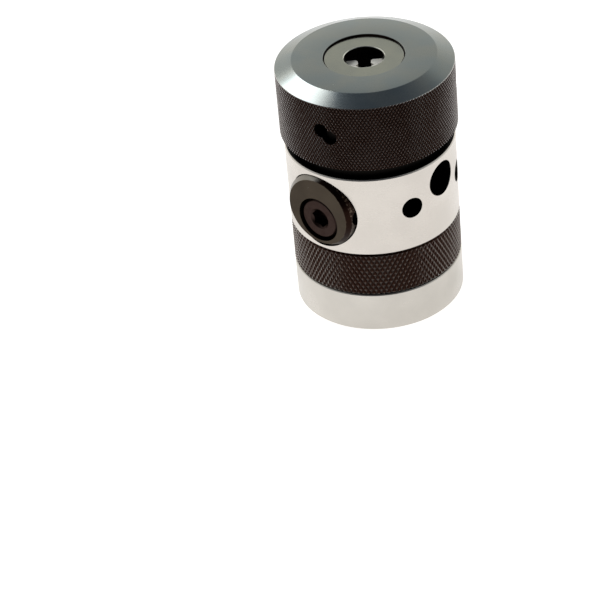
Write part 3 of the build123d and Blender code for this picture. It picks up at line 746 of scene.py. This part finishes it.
@dataclass
class NoseCap:
    """The knurled nose cap with its broad chamfer and the round holes in its wall."""

    radius: float = 30.1 * MM
    bottom: float = 65.8 * MM
    top: float = 92.0 * MM
    edge: float = 0.15 * MM
    knurl_depth: float = 0.30 * MM
    knurl_starts: int = 158
    knurl_rows: int = 24
    knurl_flat: float = 0.32
    knurl_top: float = 89.2 * MM
    chamfer_bottom: float = 89.5 * MM
    lip: float = 0.05 * MM
    face_margin: float = 0.2 * MM
    face_slope: float = 0.3
    flat_radius: float = 24.2 * MM
    bevel: float = 0.12 * MM
    opening: float = 13.7 * MM
    plate_underside: float = 88.4 * MM
    inner: float = 25.1 * MM
    step: float = 79.7 * MM
    bore: float = 26.45 * MM
    hole: float = 2.6 * MM
    hole_floor: float = 25.95 * MM
    hole_end: float = 32 * MM
    holes: list[tuple[float, float]] = field(default_factory=lambda: [
        (-81.7, 79.7), (38.3, 79.7), (158.3, 79.7), (-76.0, 77.6)])

    def build(self) -> bpy.types.Object:
        """Makes the cap.

        Returns:
            The cap, which stands for the plain one of the frame.
        """
        knurl = Knurl(self.radius, self.knurl_depth, self.knurl_starts, self.knurl_rows,
                      self.bottom + self.edge, self.knurl_top, self.knurl_flat)
        outline = [
            (self.radius - self.edge, self.bottom), (self.bore, self.bottom), (self.bore, self.step),
            (self.inner, self.step), (self.inner, self.plate_underside),
            (self.opening, self.plate_underside), (self.opening, self.top - self.bevel),
            (self.opening + self.bevel, self.top), (self.flat_radius - self.bevel, self.top),
            (self.flat_radius + self.bevel, self.top - 0.4 * self.bevel),
            (self.radius - self.edge, self.chamfer_bottom),
            (self.radius - self.lip, self.chamfer_bottom - 2 * self.lip),
        ]
        cap = knurl.close(outline, "nose_cap_knurled", CAP_KNURL)
        cap.data.materials.append(BLACK_FACE.build())
        for face in cap.data.polygons:
            high_up = face.center.z > self.chamfer_bottom - self.face_margin
            face.material_index = int(high_up and face.normal.z > self.face_slope)
        holes = [Hole(azimuth, level * MM, self.hole_floor, self.hole_end, self.hole)
                 for azimuth, level in self.holes]
        Shape.drill(cap, holes, OILED_STEEL_IN_SHADE.build())
        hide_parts("nose_cap")
        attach(cap, "nose_cap")
        return cap


@dataclass
class TorqueRing:
    """The coarser knurled ring that sets the torque."""

    radius: float = 29.0 * MM
    bottom: float = 14.85 * MM
    top: float = 31.1 * MM
    edge: float = 0.6 * MM
    knurl_depth: float = 0.45 * MM
    knurl_starts: int = 105
    knurl_rows: int = 10
    knurl_flat: float = 0.16
    spigot: float = 25.05 * MM
    recess: float = 24.5 * MM
    thread: float = 21.0 * MM
    thread_bottom: float = 16.65 * MM
    thread_top: float = 22.9 * MM
    grub_azimuth: float = 100.0
    grub_level: float = 19.8 * MM
    grub_radius: float = 2.97 * MM
    grub_start: float = 19 * MM
    grub_end: float = 31 * MM

    def build(self) -> bpy.types.Object:
        """Makes the ring.

        Returns:
            The ring, which stands for the plain one of the frame.
        """
        knurl = Knurl(self.radius, self.knurl_depth, self.knurl_starts, self.knurl_rows,
                      self.bottom + self.edge, self.top - self.edge, self.knurl_flat)
        outline = [
            (self.radius - self.edge, self.bottom), (self.spigot, self.bottom),
            (self.spigot, self.thread_bottom), (self.thread, self.thread_bottom),
            (self.thread, self.thread_top), (self.recess, self.thread_top),
            (self.recess, self.top), (self.radius - self.edge, self.top),
        ]
        ring = knurl.close(outline, "torque_ring_knurled", RING_KNURL)
        grub = Hole(self.grub_azimuth, self.grub_level, self.grub_start, self.grub_end, self.grub_radius)
        Shape.drill(ring, [grub], OILED_STEEL_IN_SHADE.build())
        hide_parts("torque_ring")
        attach(ring, "torque_ring")
        return ring


@dataclass
class FloatSpring:
    """The coil spring of square wire under the spindle; the real one shortens as the nose floats in, but
    this one keeps one length.
    """

    wire: float = 1.5 * MM
    turns: float = 4.5
    steps_a_turn: int = 48
    float_in: float = 3.0 * MM
    smooth_under: float = 30.0

    def build(self) -> bpy.types.Object:
        """Makes the spring.

        Returns:
            The spring, which stands for the rigid one of the frame.
        """
        low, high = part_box("float_spring")
        height = high[2] - low[2]
        steps = round(self.turns * self.steps_a_turn)
        start = Matrix.Translation((high[0] - self.wire / 2, 0, low[2] + self.wire / 2))
        bm = bmesh.new()
        bmesh.ops.create_grid(
            bm, x_segments=1, y_segments=1, size=self.wire / 2,
            matrix=start @ Matrix.Rotation(math.radians(90), 4, "X"))
        bmesh.ops.spin(
            bm, geom=bm.verts[:] + bm.edges[:] + bm.faces[:], cent=(0, 0, 0), axis=(0, 0, 1),
            dvec=(0, 0, (height - self.wire) / steps), angle=2 * math.pi * self.turns, steps=steps)
        spring = Shape.piece(bm, "float_spring_coil", SPRING_STEEL.build(), self.smooth_under)
        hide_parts("float_spring")
        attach(spring, "housing")
        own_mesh(spring)
        return spring


class FrameFinishes:
    """The finishes of the frame's own pieces."""

    def dress(self) -> None:
        """Gives every carried-over piece its material."""
        for finish, names in NODE_FINISHES.items():
            material = finish.build()
            for name in names:
                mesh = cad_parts[name].data
                mesh.materials.clear()
                mesh.materials.append(material)
                log.info("%s wears %s", name, finish.name)


def heading(azimuth: float, elevation: float) -> Vector:
    """The direction at a bearing, counted from +X, and a height above the horizon, both in degrees."""
    around, up = math.radians(azimuth), math.radians(elevation)
    return Vector((math.cos(around) * math.cos(up), math.sin(around) * math.cos(up), math.sin(up)))


@dataclass
class Studio:
    """The pale floor, the soft light and the camera.

    The camera was fitted to the photograph in units of the body's radius, in a frame that is
    turned about the tool axis from the head's own.
    """

    floor_size: float = 3.0
    floor_glow: float = 0.95
    front_edge: float = 0.35
    front_fade: float = 0.9
    front_shade: float = 0.92
    window_azimuth: float = 177.0
    window_elevation: float = 50.0
    window_edge: float = 0.972
    window_fade: float = 0.048
    window_strength: float = 6.5
    key_azimuth: float = 174.0
    key_elevation: float = 50.0
    key_distance: float = 0.60
    key_size: float = 0.30
    key_power: float = 0.9
    key_aim: float = 0.05
    camera_azimuth: float = -49.757
    lens: float = 153.482
    pitch: float = 0.621858194
    roll: float = -0.097598192
    shift: tuple[float, float, float] = (0.979432848, 0.230206251, 31.028139551)
    turn: float = 42.5
    unit: float = 29 * MM

    def build_floor(self) -> None:
        """Lays the plain pale floor."""
        graph = Graph("studio_floor")
        cloud = graph.noise(3.0)
        tone = graph.mix(cloud, (0.42, 0.42, 0.42), (0.40, 0.40, 0.40))
        light = graph.mix(cloud, (1.0, 0.99, 0.97), (0.98, 0.97, 0.95))
        material = graph.finish(Base_Color=tone, Roughness=0.85, Emission_Color=light,
                                Emission_Strength=self.floor_glow)
        bm = bmesh.new()
        bmesh.ops.create_grid(bm, x_segments=1, y_segments=1, size=self.floor_size)
        mesh = bpy.data.meshes.new("floor")
        bm.to_mesh(mesh)
        bm.free()
        mesh.materials.append(material)
        floor = bpy.data.objects.new("floor", mesh)
        bpy.context.scene.collection.objects.link(floor)

    def window(self, graph: Graph) -> Value:
        """The soft glow behind the head's left shoulder, as a strength over the sky."""
        way = heading(self.window_azimuth, self.window_elevation)
        beside = graph.x * way.x + graph.y * way.y + graph.z * way.z
        return beside.above(self.window_edge, self.window_fade) * self.window_strength

    def build_sky(self) -> None:
        """Hangs the room's soft light: white low down, dark overhead and darker towards the camera."""
        graph = Graph("studio_sky", sky=True)
        stops = [(0.0, (1.20, 1.18, 1.12)), (0.34, (0.93, 0.94, 0.91)), (0.50, (0.71, 0.73, 0.71)),
                 (0.56, (0.70, 0.71, 0.69)), (0.64, (0.66, 0.69, 0.69)), (0.72, (0.34, 0.37, 0.39)),
                 (0.79, (0.24, 0.26, 0.29)), (0.87, (0.17, 0.19, 0.22)), (0.96, (0.10, 0.12, 0.15))]
        fall = graph.node("ShaderNodeValToRGB", {"stops": stops}, {0: graph.z})
        around = math.radians(self.camera_azimuth)
        towards = graph.x * math.cos(around) + graph.y * math.sin(around)
        shade = towards.above(self.front_edge, self.front_fade) * self.front_shade
        strength = 1.0 - shade + self.window(graph)
        back = graph.node("ShaderNodeBackground", {}, {"Color": fall.outputs[0], "Strength": strength})
        graph.node("ShaderNodeOutputWorld", {}, {0: back.outputs[0]})
        bpy.context.scene.world = graph.owner

    def build_light(self) -> None:
        """Hangs the soft light behind the head's left shoulder, aimed at the head."""
        lamp = bpy.data.lights.new("key", "AREA")
        lamp.size = self.key_size
        lamp.energy = self.key_power
        way = heading(self.key_azimuth, self.key_elevation)
        hung = bpy.data.objects.new("key", lamp)
        hung.location = way * self.key_distance + Vector((0, 0, self.key_aim))
        hung.rotation_mode = "QUATERNION"
        hung.rotation_quaternion = way.to_track_quat("Z", "Y")
        bpy.context.scene.collection.objects.link(hung)

    def build_camera(self) -> None:
        """Sets the camera at the photograph's viewing angle."""
        right, up = Vector((1, 0, 0)), Vector((0, math.sin(self.pitch), math.cos(self.pitch)))
        ahead = Vector((0, math.cos(self.pitch), -math.sin(self.pitch)))
        across = math.cos(self.roll) * right + math.sin(self.roll) * up
        upward = -math.sin(self.roll) * right + math.cos(self.roll) * up
        shift = Vector(self.shift)
        centre = -(shift.x * across + shift.y * upward + shift.z * ahead) * self.unit
        turn = Matrix.Rotation(math.radians(self.turn), 3, "Z")
        axes = Matrix((turn @ across, turn @ upward, turn @ -ahead)).transposed()
        data = bpy.data.cameras.new("camera")
        data.lens = self.lens
        data.sensor_width = 36.0
        data.clip_start, data.clip_end = 0.05, 20.0
        camera = bpy.data.objects.new("camera", data)
        camera.matrix_world = Matrix.Translation(turn @ centre) @ axes.to_4x4()
        bpy.context.scene.collection.objects.link(camera)
        bpy.context.scene.camera = camera

    def build(self) -> None:
        """Builds the whole studio."""
        self.build_camera()
        self.build_floor()
        self.build_sky()
        self.build_light()
        bpy.context.scene.view_settings.view_transform = "Standard"


def main() -> None:
    """Builds the studio and the head."""
    logging.basicConfig(level=logging.INFO, format="%(name)s: %(message)s")
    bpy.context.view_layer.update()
    Studio().build()
    FrameFinishes().dress()
    for part in (NoseCap(), TorqueRing(), FloatSpring()):
        piece = part.build()
        log.info("%s has %d faces", piece.name, len(piece.data.polygons))


if __name__ == "__main__":
    main()
